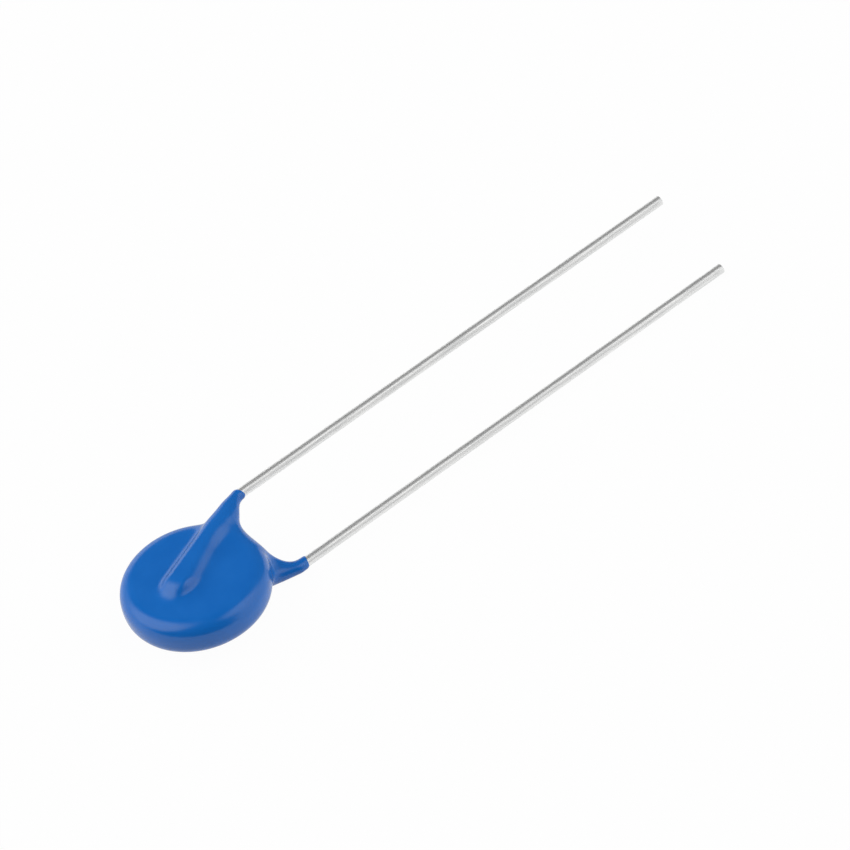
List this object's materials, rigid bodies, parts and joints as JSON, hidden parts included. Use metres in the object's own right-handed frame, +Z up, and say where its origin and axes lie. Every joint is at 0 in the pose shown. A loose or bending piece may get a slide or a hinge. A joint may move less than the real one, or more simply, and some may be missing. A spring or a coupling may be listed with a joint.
{
  "type": "metal oxide varistor",
  "caption": "Dipped disc surge suppressor with two straight radial leads, which clamps voltage spikes across a mains input on a circuit board.",
  "frame": {"origin": "on the surface the part lies on, under the middle of its bounding box", "axes": "+Z points up from the surface the part lies on, +Y runs along the leads towards their cut tips, and X runs across the lead pitch, from the front lead at -X to the back lead at +X. At rest the leads slope down by 1.1 degrees towards their tips, and the disc leans by 11.1 degrees, with its edge at -X the low one."},
  "size_m": [0.0086, 0.0416, 0.0036],
  "materials": {
    "zinc_oxide": "dense matt sintered zinc oxide, dark grey",
    "silver": "fired silver layer, matt",
    "solder": "tin solder, dull grey",
    "tinned_wire": "bright tinned copper wire with fine lines drawn along it",
    "blue_epoxy": "smooth glossy blue epoxy, dipped"
  },
  "bodies": {
    "root": {"ceramic_disc": "zinc_oxide", "front_electrode": "silver", "back_electrode": "silver", "front_solder": "solder", "back_solder": "solder", "front_lead": "tinned_wire", "back_lead": "tinned_wire", "epoxy_coating": "blue_epoxy"}
  },
  "joints": []
}
